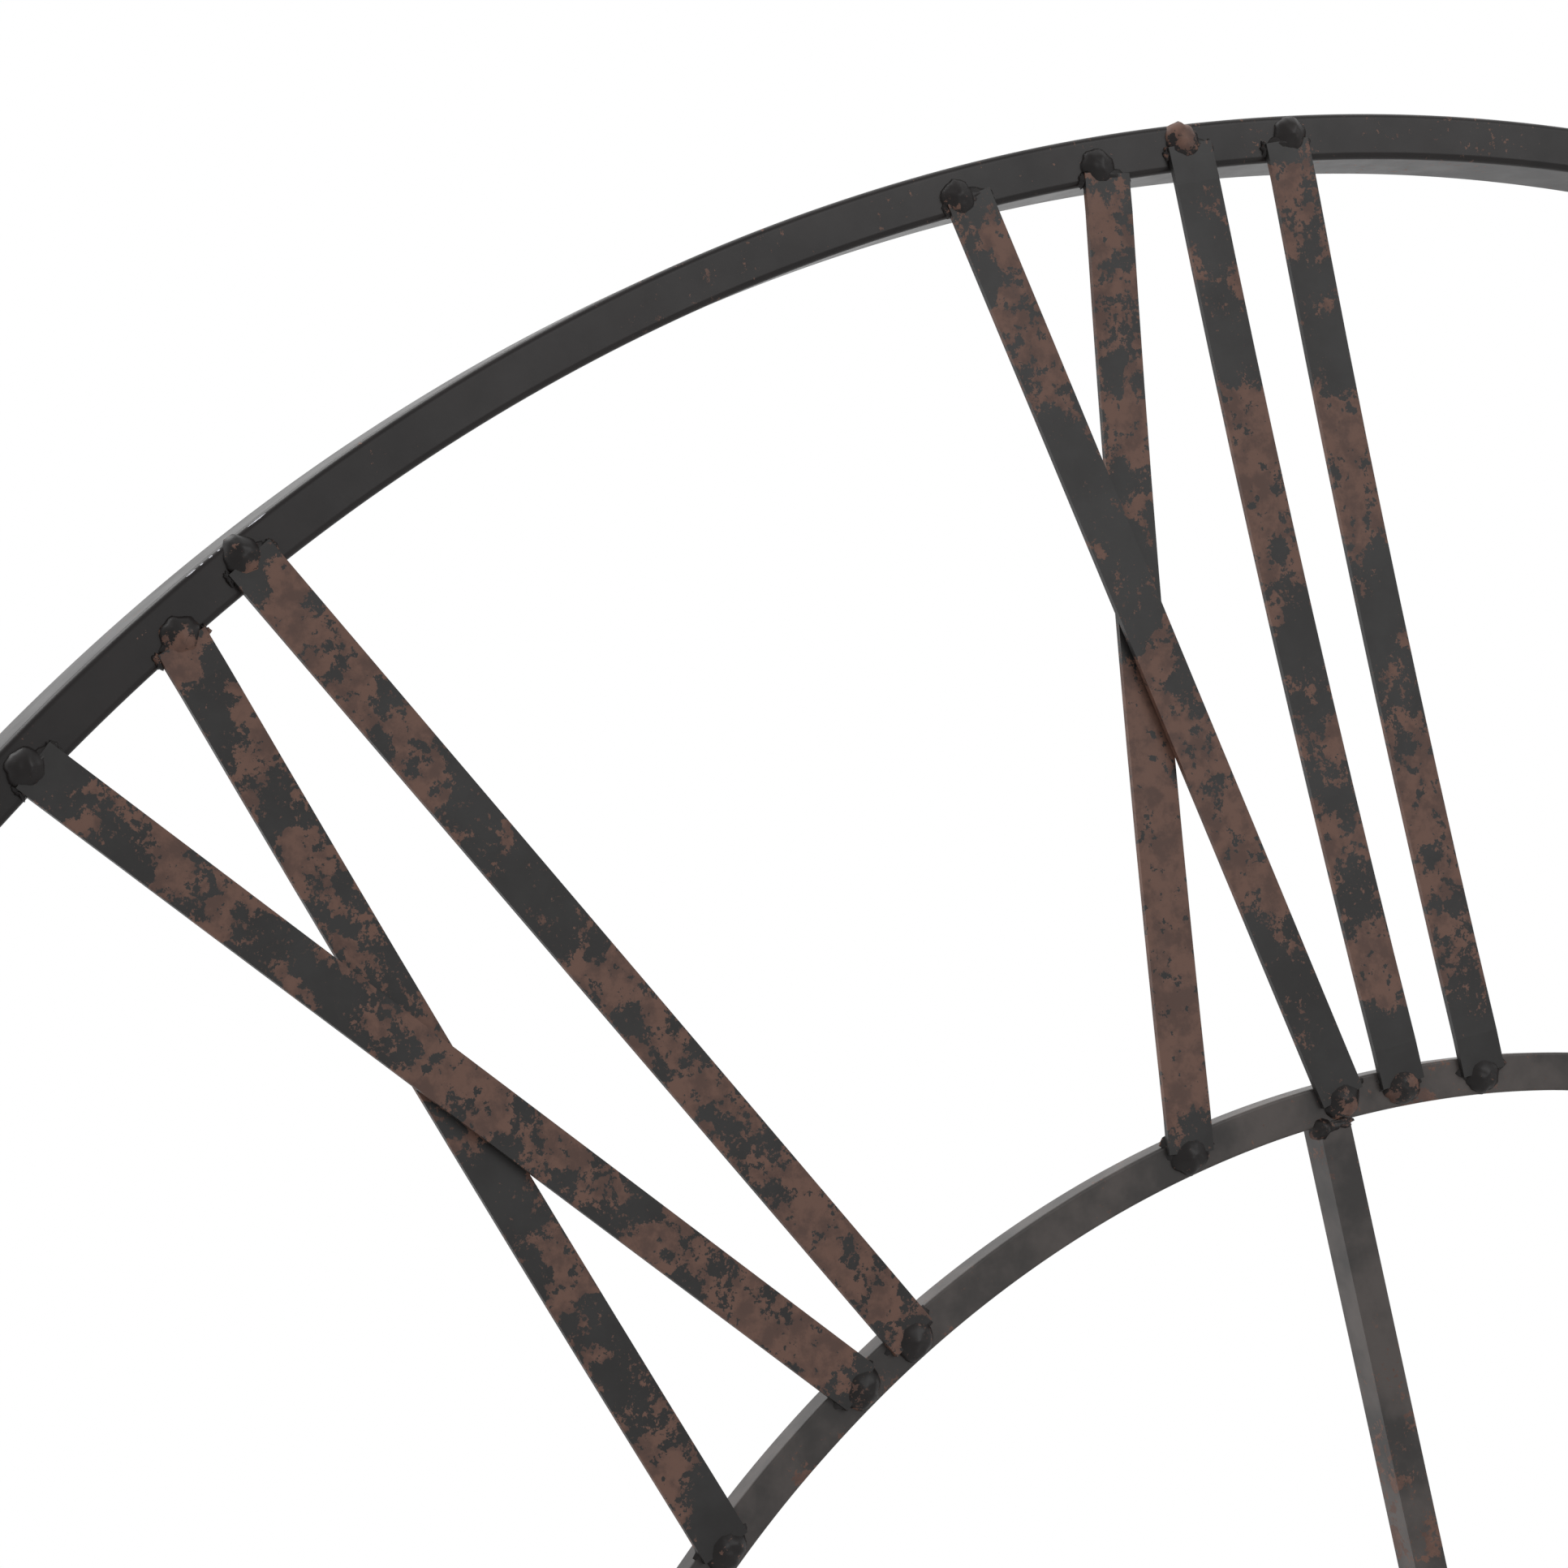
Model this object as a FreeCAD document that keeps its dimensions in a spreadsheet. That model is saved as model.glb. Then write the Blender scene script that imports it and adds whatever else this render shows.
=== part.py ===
import FreeCAD, Part
import math
import os
import re

import Sketcher
from FreeCAD import Placement, Rotation, Vector

# Openwork garden wall clock with Roman numerals, in millimetres.
#
# +Z is up, +X is to the right of somebody who looks at the dial, and the dial faces -Y.
# The wall is the plane Y = 0. The origin is the centre of the hanging hole, in the back of
# the outer ring at 12 o'clock. "Depth" below always means the distance in front of the wall,
# so a depth d is the plane Y = -d. Angles are clockwise from 12 o'clock, in degrees.

DIMS = {
    # outer ring, a rolled rectangular tube
    "ring_radius": 457.2,
    "ring_width": 9.7,
    "ring_depth": 17.2,
    "ring_wall": 1.0,
    "ring_corner": 1.4,
    "hanging_hole_radius": 3.5,
    # inner ring, a rolled solid bar whose front is flush with the outer ring's
    "inner_ring_radius": 257.3,
    "inner_ring_width": 8.0,
    "inner_ring_depth": 6.0,
    "inner_ring_corner": 0.6,
    # numeral strips, laid on the fronts of both rings
    "strip_width": 10.4,
    "strip_thickness": 1.2,
    "strip_bow": 2.0,
    "strip_seat": 8.0,
    "strip_outer_end": 450.9,
    "strip_inner_end": 254.0,
    "stroke_pitch": 22.0,
    "cross_top": 34.4,
    "cross_foot": 39.8,
    "cross_advance": 50.0,
    "vee_top": 36.0,
    "vee_foot": 11.4,
    "vee_advance": 46.0,
    # weld beads
    "bead_radius": 3.0,
    "bead_step": 1.5,
    # spokes and hub cup
    "spoke_width": 7.5,
    "spoke_depth": 6.4,
    "spoke_setback": 0.4,
    "spoke_gap": 0.1,
    "hub_radius": 52.0,
    "hub_wall": 1.2,
    "hub_length": 15.0,
    "hub_front": 26.0,
    "hub_corner": 3.0,
    # movement: case, cover and what holds them to the hub
    "case_back": 5.8,
    "case_size": 56.0,
    "case_depth": 18.0,
    "case_wall": 1.5,
    "divider_height": -11.2,
    "divider_thickness": 0.8,
    "tube_radius": 4.0,
    "tube_bore": 2.58,
    "tube_flange": 7.0,
    "flange_thickness": 1.0,
    "tube_front": 31.0,
    "gasket_radius": 20.0,
    "washer_radius": 8.5,
    "washer_thickness": 0.8,
    "nut_flats": 12.0,
    "nut_height": 3.0,
    "screw_shank": 1.0,
    "screw_head": 1.9,
    "screw_head_height": 1.2,
    "screw_length": 7.2,
    "boss_radius": 1.9,
    # arbors and running fits
    "pivot_radius": 0.5,
    "pivot_play": 0.05,
    "pivot_depth": 22.9,
    "arbor_radius": 1.6,
    "arbor_rear_radius": 0.8,
    "arbor_tip_radius": 1.25,
    "pipe_radius": 2.5,
    "pipe_bore": 1.68,
    "pipe_front": 32.6,
    "bridge_back": 9.7,
    "bridge_thickness": 0.9,
    "post_radius": 1.1,
    "knob_shaft": 1.2,
    "knob_radius": 5.5,
    # battery, an AA cell
    "cell_radius": 7.1,
    "cell_length": 49.2,
    "cell_height": -18.7,
    "cell_depth": 14.8,
    "nub_radius": 2.75,
    "nub_length": 1.3,
    # hands
    "hand_thickness": 1.0,
    "hour_hand_depth": 31.4,
    "hour_hand_length": 165.0,
    "minute_hand_depth": 34.4,
    "minute_hand_length": 238.0,
    "bush_radius": 5.0,
    "bush_height": 1.6,
    "cap_radius": 3.2,
    "hour_hand_angle": 304.0,
    "minute_hand_angle": 48.0,
}

DIAL_SPOKES = {"spoke_12": (0, 2.1), "spoke_03": (90, 0), "spoke_06": (180, 0), "spoke_09": (270, 0)}

NUMERALS = ("I", "II", "III", "IIII", "V", "VI", "VII", "VIII", "IX", "X", "XI", "XII")

doc = FreeCAD.newDocument("garden_clock")
sheet = doc.addObject("Spreadsheet::Sheet", "Dims")
for row, (alias, value) in enumerate(DIMS.items(), 1):
    sheet.set(f"A{row}", alias)
    sheet.set(f"B{row}", str(value))
    sheet.setAlias(f"B{row}", alias)
doc.recompute()


def size(alias):
    """One driving dimension, as a number."""
    return float(sheet.get(alias))


# The dial's centre hangs this far below the hole, which is on the outer ring's centreline.
DROP = size("ring_radius") - size("ring_width") / 2
FACE = size("ring_depth")

nodes = []


def node(item):
    """Marks an object as a sub-part that gets a file of its own."""
    nodes.append(item)
    return item


def expression(text):
    """Turns sheet aliases in a formula into references to the sheet's cells."""
    return re.sub(r"[a-z]+(?:_[a-z]+)+", lambda word: "Dims." + word.group(), text)


def bind(item, **sizes):
    """Binds an object's properties to formulas of sheet aliases."""
    for name, text in sizes.items():
        item.setExpression(name, expression(text))
    return item


def at(depth=0, angle=0, along=0, across=0):
    """A place on the dial: on the plane of a depth, turned to an angle, and moved out from the centre."""
    turn = Rotation(Vector(0, 1, 0), angle)
    spot = turn.multVec(Vector(across, 0, along))
    return Placement(Vector(spot.x, -depth, spot.z - DROP), turn)


# ---- sketches and solids -------------------------------------------------------------------


def new_body(label):
    body = doc.addObject("PartDesign::Body", label)
    body.Label = label
    return body


def sketch_on(body, role):
    """A sketch on one of the body's own origin planes."""
    plane = next(item for item in body.Origin.OriginFeatures if item.Role == role)
    sketch = body.newObject("Sketcher::SketchObject", body.Label + "_sketch")
    sketch.AttachmentSupport = [(plane, "")]
    sketch.MapMode = "FlatFace"
    return sketch


def pin(sketch, geometry, point, corner):
    """Fixes one point of a sketch at a pair of formulas."""
    for kind, text in zip(("DistanceX", "DistanceY"), corner):
        index = sketch.addConstraint(Sketcher.Constraint(kind, -1, 1, geometry, point, 1.0))
        sketch.setExpression(f"Constraints[{index}]", expression(text))


def add_outline(sketch, corners):
    """Adds a closed polygon, with each corner bound to a pair of formulas."""
    count = len(corners)
    first = sketch.GeometryCount
    turns = [2 * math.pi * corner / count for corner in range(count)]
    rough = [Vector(math.cos(turn), math.sin(turn), 0) for turn in turns]
    for corner in range(count):
        sketch.addGeometry(Part.LineSegment(rough[corner], rough[(corner + 1) % count]))
    for corner in range(count):
        following = first + (corner + 1) % count
        sketch.addConstraint(Sketcher.Constraint("Coincident", first + corner, 2, following, 1))
    for corner, pair in enumerate(corners):
        pin(sketch, first + corner, 1, pair)


def add_circle(sketch, radius, centre=("0", "0")):
    """Adds a circle whose radius and centre are bound to formulas."""
    circle = sketch.addGeometry(Part.Circle(Vector(0, 0, 0), Vector(0, 0, 1), 1))
    index = sketch.addConstraint(Sketcher.Constraint("Radius", circle, 1.0))
    sketch.setExpression(f"Constraints[{index}]", expression(radius))
    pin(sketch, circle, 3, centre)


def revolve(body, *outlines):
    """Turns outlines of (radius, Y) corners about the body's Y axis."""
    sketch = sketch_on(body, "XY_Plane")
    for corners in outlines:
        add_outline(sketch, corners)
    turned = body.newObject("PartDesign::Revolution", body.Label + "_turned")
    turned.Profile = sketch
    turned.ReferenceAxis = (sketch, ["V_Axis"])
    turned.Angle = 360
    return turned


def pad_forward(body, sketch, length):
    """Pads a sketch on the XZ plane towards the viewer."""
    pad = body.newObject("PartDesign::Pad", body.Label + "_pad")
    pad.Profile = sketch
    bind(pad, Length=length)
    return pad


def turned_part(label, corners):
    body = new_body(label)
    revolve(body, corners)
    body.Placement = at()
    return body


def ring_part(label, outer, inner, back, thickness):
    """A flat ring, washer or bush that faces forward."""
    corners = [
        (outer, f"-({back})"),
        (outer, f"-({back} + {thickness})"),
        (inner, f"-({back} + {thickness})"),
        (inner, f"-({back})"),
    ]
    return turned_part(label, corners)


def round_edges(body, feature, radius, keep):
    """Rounds the feature's edges for which keep(edge) is true."""
    doc.recompute()
    names = [f"Edge{number}" for number, edge in enumerate(feature.Shape.Edges, 1) if keep(edge)]
    fillet = body.newObject("PartDesign::Fillet", body.Label + "_corners")
    fillet.Base = (feature, names)
    bind(fillet, Radius=radius)
    return fillet


def is_circle(edge, *radii):
    """True if the edge is a whole circle with one of the radii."""
    if edge.Curve.TypeId != "Part::GeomCircle":
        return False
    return any(abs(edge.Curve.Radius - radius) < 1e-6 for radius in radii)


def rod(radius, back, front, x=0, z=0):
    """A cylinder that runs from one depth forward to another."""
    return Part.makeCylinder(radius, front - back, Vector(x, -back, z - DROP), Vector(0, -1, 0))


def block(x, z, back, front):
    """A box from ranges of X and Z and two depths, about the dial's centre."""
    corner = Vector(x[0], -front, z[0] - DROP)
    return Part.makeBox(x[1] - x[0], front - back, z[1] - z[0], corner)


def fused(first, *others):
    """One clean solid from several that touch or overlap."""
    return first.fuse(list(others)).removeSplitter()


def shape_part(label, shape):
    """A sub-part whose shape is worked out here, from sizes read off the sheet."""
    item = doc.addObject("Part::Feature", label)
    item.Label = label
    item.Shape = shape
    item.Placement = Placement()
    return item


# ---- rings ---------------------------------------------------------------------------------


def make_outer_ring():
    """A hollow tube rolled into a ring, with the hanging hole through its back wall."""
    body = new_body("outer_ring")
    inside = "ring_radius - ring_width"
    skin = [
        ("ring_radius", "0"),
        ("ring_radius", "-ring_depth"),
        (inside, "-ring_depth"),
        (inside, "0"),
    ]
    hollow = [
        ("ring_radius - ring_wall", "-ring_wall"),
        ("ring_radius - ring_wall", "-ring_depth + ring_wall"),
        (inside + " + ring_wall", "-ring_depth + ring_wall"),
        (inside + " + ring_wall", "-ring_wall"),
    ]
    tube = revolve(body, skin, hollow)
    sketch = sketch_on(body, "XZ_Plane")
    add_circle(sketch, "hanging_hole_radius", ("0", "ring_radius - ring_width / 2"))
    hole = body.newObject("PartDesign::Pocket", "hanging_hole")
    hole.Profile = sketch
    hole.Reversed = True
    bind(hole, Length="ring_wall")
    doc.recompute()
    removed = tube.Shape.Volume - hole.Shape.Volume
    wanted = math.pi * size("hanging_hole_radius") ** 2 * size("ring_wall")
    if abs(removed - wanted) > 0.01 * wanted:
        raise ValueError("the hanging hole does not go through the tube's back wall")
    radii = (size("ring_radius"), size("ring_radius") - size("ring_width"))
    round_edges(body, hole, "ring_corner", lambda edge: is_circle(edge, *radii))
    body.Placement = at()
    return body


def make_inner_ring():
    body = new_body("inner_ring")
    inside = "inner_ring_radius - inner_ring_width"
    back = "-ring_depth + inner_ring_depth"
    corners = [
        ("inner_ring_radius", "-ring_depth"),
        (inside, "-ring_depth"),
        (inside, back),
        ("inner_ring_radius", back),
    ]
    bar = revolve(body, corners)
    radii = (size("inner_ring_radius"), size("inner_ring_radius") - size("inner_ring_width"))
    round_edges(body, bar, "inner_ring_corner", lambda edge: is_circle(edge, *radii))
    body.Placement = at()
    return body


outer_ring = node(make_outer_ring())
inner_ring = node(make_inner_ring())


# ---- numerals ------------------------------------------------------------------------------
# A stroke is (place at the outer ring, place at the inner ring, radius of its outer end, bow).
# The places are measured across the numeral from its own centreline, clockwise positive.
# A strip that passes behind another bows back towards the wall between the rings.


def regular_strokes(text):
    """Lays a numeral's letters side by side, centred on its hour."""
    half_top, half_foot = size("cross_top") / 2, size("cross_foot") / 2
    vee_top, vee_foot = size("vee_top") / 2, size("vee_foot") / 2
    advance = {"I": size("stroke_pitch"), "V": size("vee_advance"), "X": size("cross_advance")}
    end, bow = size("strip_outer_end"), size("strip_bow")
    start = -sum(advance[letter] for letter in text) / 2
    strokes = []
    for letter in text:
        middle = start + advance[letter] / 2
        start += advance[letter]
        if letter == "I":
            strokes.append((middle, middle, end, 0))
        elif letter == "V":
            strokes.append((middle - vee_top, middle - vee_foot, end, 0))
            strokes.append((middle + vee_top, middle + vee_foot, end, 0))
        else:
            strokes.append((middle + half_top, middle - half_foot, end, bow))
            strokes.append((middle - half_top, middle + half_foot, end, 0))
    return strokes


# Two numerals whose strips were laid a little off the regular places.
LAID_BY_HAND = {
    "XI": (
        (8.9, -28.5, 448.7, 2.0),
        (-26.9, 12.3, 451.2, 0),
        (29.1, 27.1, 452.5, 0),
    ),
    "XII": (
        (-3.8, -33.4, 449.2, 2.0),
        (-36.6, 4.5, 450.7, 0),
        (17.1, 19.6, 452.7, 2.0),
        (40.7, 39.7, 451.6, 2.0),
    ),
}


def stroke_ends(stroke):
    """The two end points of a stroke's centreline, as (across, along) from the dial's centre."""
    top, foot, end, bow = stroke
    inner = size("strip_inner_end")
    outer_point = (top, math.sqrt(end**2 - top**2))
    inner_point = (foot, math.sqrt(inner**2 - foot**2))
    return outer_point, inner_point


def stroke_run(stroke):
    """A stroke's length and its lean away from the numeral's centreline."""
    outer_point, inner_point = stroke_ends(stroke)
    across = outer_point[0] - inner_point[0]
    along = outer_point[1] - inner_point[1]
    return math.hypot(across, along), math.degrees(math.atan2(across, along))


def add_bowed_edge(sketch, length, bow, depth):
    """Adds one face of a bowed strip: flat ends that lie on the rings, and an arc between them."""
    flat = size("strip_seat")
    chord = length - 2 * flat
    radius = (chord**2 / 4 + bow**2) / (2 * bow)
    half_turn = math.asin(chord / 2 / radius)
    centre = Vector(bow - radius - depth, length / 2, 0)
    circle = Part.Circle(centre, Vector(0, 0, 1), radius)
    sketch.addGeometry(Part.ArcOfCircle(circle, -half_turn, half_turn))
    for start, end in ((0, flat), (length - flat, length)):
        sketch.addGeometry(Part.LineSegment(Vector(-depth, start, 0), Vector(-depth, end, 0)))


def make_strip(label, stroke):
    """A flat strip that lies on the rings: its back is the plane Y = 0, its foot is at Z = 0."""
    length, lean = stroke_run(stroke)
    bow = stroke[3]
    thickness = size("strip_thickness")
    body = new_body(label)
    if bow:
        sketch = sketch_on(body, "YZ_Plane")
        add_bowed_edge(sketch, length, bow, 0)
        add_bowed_edge(sketch, length, bow, thickness)
        for height in (0, length):
            ends = (Vector(0, height, 0), Vector(-thickness, height, 0))
            sketch.addGeometry(Part.LineSegment(*ends))
        pad = body.newObject("PartDesign::Pad", label + "_pad")
        pad.Profile = sketch
        pad.SideType = "Symmetric"
        bind(pad, Length="strip_width")
    else:
        sketch = sketch_on(body, "XZ_Plane")
        corners = [
            ("-strip_width / 2", "0"),
            ("strip_width / 2", "0"),
            ("strip_width / 2", f"{length}"),
            ("-strip_width / 2", f"{length}"),
        ]
        add_outline(sketch, corners)
        pad_forward(body, sketch, "strip_thickness")
    foot = stroke_ends(stroke)[1]
    body.Placement = Placement(Vector(foot[0], 0, foot[1]), Rotation(Vector(0, 1, 0), lean))
    return body


def make_numeral(hour, text, strokes):
    """One numeral: its strips, as separate solids of one node."""
    label = f"numeral_{hour:02d}"
    strips = [
        make_strip(f"{label}_strip_{number}", stroke) for number, stroke in enumerate(strokes, 1)
    ]
    numeral = doc.addObject("Part::Compound", label)
    numeral.Label = label
    numeral.Links = strips
    numeral.Placement = at(FACE, 30 * hour)
    return numeral


dial_strokes = {}
for hour, text in enumerate(NUMERALS, 1):
    dial_strokes[hour] = LAID_BY_HAND.get(text) or regular_strokes(text)
    node(make_numeral(hour, text, dial_strokes[hour]))


# ---- weld beads ----------------------------------------------------------------------------


def strip_bead(outer):
    """A domed weld over a strip's end, in the strip's own frame: its end is the plane Z = 0."""
    radius, step, width = size("bead_radius"), size("bead_step"), size("strip_width")
    way = 1 if outer else -1
    dome = Part.makeSphere(radius, Vector(0, 0, way * step), Vector(0, -1, 0), 0, 90)
    low = -2 * radius if outer else 0
    strip = Part.makeBox(width, size("strip_thickness"), 2 * radius, Vector(-width / 2, 0, low))
    strip.translate(Vector(0, -size("strip_thickness"), 0))
    return dome.cut(strip)


def make_strip_beads(label, outer):
    """Every weld on one of the two rings, as separate solids of one node."""
    bead = strip_bead(outer)
    beads = []
    for hour, strokes in dial_strokes.items():
        for stroke in strokes:
            end = stroke_ends(stroke)[0 if outer else 1]
            turned = Rotation(Vector(0, 1, 0), stroke_run(stroke)[1])
            local = Placement(Vector(end[0], 0, end[1]), turned)
            beads.append(bead.transformed(at(FACE, 30 * hour).multiply(local).toMatrix()))
    return shape_part(label, Part.makeCompound(beads))


node(make_strip_beads("outer_weld_beads", True))
node(make_strip_beads("inner_weld_beads", False))


# ---- spokes and hub ------------------------------------------------------------------------


def make_spoke(label, angle, offset):
    """A square bar from the hub cup's rim to the welds just inside the inner ring."""
    body = new_body(label)
    sketch = sketch_on(body, "XZ_Plane")
    top = "inner_ring_radius - inner_ring_width - spoke_gap"
    corners = [
        ("-spoke_width / 2", "hub_radius"),
        ("spoke_width / 2", "hub_radius"),
        ("spoke_width / 2", top),
        ("-spoke_width / 2", top),
    ]
    add_outline(sketch, corners)
    pad_forward(body, sketch, "spoke_depth")
    back = size("ring_depth") - size("spoke_setback") - size("spoke_depth")
    body.Placement = at(back, angle, across=offset)
    return body


def make_hub_cup():
    """A shallow pressed cup, open at the back, with a hole for the movement's threaded tube."""
    inside = "hub_radius - hub_wall"
    corners = [
        ("tube_radius + 0.1", "-hub_front"),
        ("hub_radius", "-hub_front"),
        ("hub_radius", "-hub_front + hub_length"),
        (inside, "-hub_front + hub_length"),
        (inside, "-hub_front + hub_wall"),
        ("tube_radius + 0.1", "-hub_front + hub_wall"),
    ]
    body = new_body("hub_cup")
    cup = revolve(body, corners)

    def is_front_edge(edge):
        on_front = abs(edge.BoundBox.YMin + size("hub_front")) < 1e-6
        return on_front and is_circle(edge, size("hub_radius"))

    round_edges(body, cup, "hub_corner", is_front_edge)
    body.Placement = at()
    return body


for label, (angle, offset) in DIAL_SPOKES.items():
    node(make_spoke(label, angle, offset))
node(make_hub_cup())


def make_spoke_beads():
    """A low weld on the front of each spoke's two ends."""
    radius, height = size("bead_radius"), size("bead_radius") / 2
    inner_edge = size("inner_ring_radius") - size("inner_ring_width")
    front = FACE - size("spoke_setback")
    beads = []
    for angle, offset in DIAL_SPOKES.values():
        for along in (inner_edge - radius - 0.3, size("hub_radius") + radius + 0.3):
            base = at(front, angle, along, offset).Base
            beads.append(Part.makeCone(radius, radius / 2, height, base, Vector(0, -1, 0)))
    return shape_part("spoke_weld_beads", Part.makeCompound(beads))


node(make_spoke_beads())


# ---- movement: fixed parts -----------------------------------------------------------------

CASE_BACK = size("case_back")
CASE_FRONT = CASE_BACK + size("case_depth")
INSIDE_BACK = CASE_BACK + size("case_wall")
INSIDE_FRONT = CASE_FRONT - size("case_wall")
HALF_CASE = size("case_size") / 2
HALF_INSIDE = HALF_CASE - size("case_wall")
SCREW_SPOTS = ((-24.3, 24.3), (24.3, 24.3), (-22.5, -7.9), (22.5, -7.9))
POSTS = ((-10.8, -6.0), (11.5, -6.5), (13.5, 18.5), (-12.5, 13.0))


def polar(radius, angle):
    """A point at a clockwise angle from +Z, as (x, z)."""
    turn = math.radians(angle)
    return radius * math.sin(turn), radius * math.cos(turn)


def step_from(spot, distance, angle):
    """The place of an axis that meshes at a distance and direction from another one."""
    across, along = polar(distance, angle)
    return spot[0] + across, spot[1] + along


# teeth and module of each pair that meshes, driving wheel first
TRAIN_MODULE = 0.30
THIRD_MODULE = 0.25
FAST_MODULE = 0.20
MOTION_MODULE = 0.40
CENTRE_TEETH, THIRD_PINION = 60, 8
THIRD_TEETH, SECONDS_PINION = 64, 8
SECONDS_TEETH, INTERMEDIATE_PINION = 60, 10
INTERMEDIATE_TEETH, ROTOR_PINION = 50, 10
CANNON_TEETH, MOTION_TEETH = 12, 36
MOTION_PINION, HOUR_TEETH = 10, 40
SETTING_TEETH = 12


def reach(first, second, module):
    """The distance between the axes of two wheels in mesh."""
    return (first + second) * module / 2


THIRD_WAY, SECONDS_WAY, INTERMEDIATE_WAY, ROTOR_WAY = 60, -20, -75, -80
MOTION_WAY, SETTING_WAY = -60, -100
CENTRE_AT = (0, 0)
THIRD_AT = step_from(CENTRE_AT, reach(CENTRE_TEETH, THIRD_PINION, TRAIN_MODULE), THIRD_WAY)
SECONDS_AT = step_from(THIRD_AT, reach(THIRD_TEETH, SECONDS_PINION, THIRD_MODULE), SECONDS_WAY)
INTERMEDIATE_AT = step_from(
    SECONDS_AT, reach(SECONDS_TEETH, INTERMEDIATE_PINION, FAST_MODULE), INTERMEDIATE_WAY
)
ROTOR_AT = step_from(
    INTERMEDIATE_AT, reach(INTERMEDIATE_TEETH, ROTOR_PINION, FAST_MODULE), ROTOR_WAY
)
MOTION_REACH = reach(CANNON_TEETH, MOTION_TEETH, MOTION_MODULE)
MOTION_AT = step_from(CENTRE_AT, MOTION_REACH, MOTION_WAY)
HOUR_MODULE = 2 * MOTION_REACH / (MOTION_PINION + HOUR_TEETH)
SETTING_AT = step_from(MOTION_AT, reach(MOTION_TEETH, SETTING_TEETH, MOTION_MODULE), SETTING_WAY)
PIVOTS = (THIRD_AT, SECONDS_AT, INTERMEDIATE_AT, ROTOR_AT, MOTION_AT, SETTING_AT)
SCREW_DEPTH = CASE_BACK + size("screw_length")


def make_movement_case():
    """The front shell: five walls, the divider over the battery, screw bosses and bridge posts."""
    outside = (-HALF_CASE, HALF_CASE)
    inside = (-HALF_INSIDE, HALF_INSIDE)
    shell = block(outside, outside, INSIDE_BACK, CASE_FRONT)
    shell = shell.cut(block(inside, inside, INSIDE_BACK, INSIDE_FRONT))
    foot = size("divider_height")
    divider = block((-24, 24), (foot, foot + size("divider_thickness")), INSIDE_BACK, INSIDE_FRONT)
    bosses = [rod(size("boss_radius"), INSIDE_BACK, INSIDE_FRONT, *spot) for spot in SCREW_SPOTS]
    bridge_front = size("bridge_back") + size("bridge_thickness")
    posts = [rod(size("post_radius"), bridge_front, INSIDE_FRONT, *spot) for spot in POSTS]
    shell = fused(shell, divider, *bosses, *posts)
    hole = size("pivot_radius") + size("pivot_play")
    cuts = [rod(hole, INSIDE_FRONT, size("pivot_depth") + 0.1, *spot) for spot in PIVOTS]
    cuts += [rod(size("screw_shank"), INSIDE_BACK, SCREW_DEPTH, *spot) for spot in SCREW_SPOTS]
    cuts.append(rod(size("tube_radius"), INSIDE_FRONT, CASE_FRONT))
    return shape_part("movement_case", shell.cut(cuts))


def make_movement_cover():
    """The back plate, open over the battery, with holes for the screws and the setting knob."""
    outside = (-HALF_CASE, HALF_CASE)
    plate = block(outside, outside, CASE_BACK, INSIDE_BACK)
    bay = block((-25.9, 25.9), (-26, size("divider_height") - 0.3), CASE_BACK, INSIDE_BACK)
    cuts = [bay, rod(size("knob_shaft") + 0.08, CASE_BACK, INSIDE_BACK, *SETTING_AT)]
    cuts += [rod(size("screw_shank") + 0.1, CASE_BACK, INSIDE_BACK, *spot) for spot in SCREW_SPOTS]
    return shape_part("movement_cover", plate.cut(cuts))


def make_case_screws():
    """Four pan-head screws with a cross slot."""
    screws = []
    head_back = CASE_BACK - size("screw_head_height")
    for spot in SCREW_SPOTS:
        shank = rod(size("screw_shank"), CASE_BACK, SCREW_DEPTH, *spot)
        head = rod(size("screw_head"), head_back, CASE_BACK, *spot)
        cuts = []
        for long_way, short_way in ((1.2, 0.25), (0.25, 1.2)):
            wide = (spot[0] - long_way, spot[0] + long_way)
            tall = (spot[1] - short_way, spot[1] + short_way)
            cuts.append(block(wide, tall, head_back, head_back + 0.6))
        screws.append(fused(head, shank).cut(cuts))
    return shape_part("case_screws", Part.makeCompound(screws))


def make_centre_tube():
    """The threaded tube that the hub is clamped on, with a flange in front of the case."""
    flange_front = f"{CASE_FRONT} + flange_thickness"
    corners = [
        ("tube_bore", f"-{INSIDE_FRONT}"),
        ("tube_radius", f"-{INSIDE_FRONT}"),
        ("tube_radius", f"-{CASE_FRONT}"),
        ("tube_flange", f"-{CASE_FRONT}"),
        ("tube_flange", f"-({flange_front})"),
        ("tube_radius", f"-({flange_front})"),
        ("tube_radius", "-tube_front"),
        ("tube_bore", "-tube_front"),
    ]
    return turned_part("centre_tube", corners)


def make_fixing_nut():
    """A thin hexagon nut."""
    body = new_body("fixing_nut")
    sketch = sketch_on(body, "XZ_Plane")
    corners = []
    for corner in range(6):
        turn = math.radians(60 * corner)
        share_x, share_z = math.cos(turn) / math.sqrt(3), math.sin(turn) / math.sqrt(3)
        corners.append((f"nut_flats * {share_x}", f"nut_flats * {share_z}"))
    add_outline(sketch, corners)
    add_circle(sketch, "tube_radius")
    pad_forward(body, sketch, "nut_height")
    body.Placement = at(size("hub_front") + size("washer_thickness"))
    return body


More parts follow.
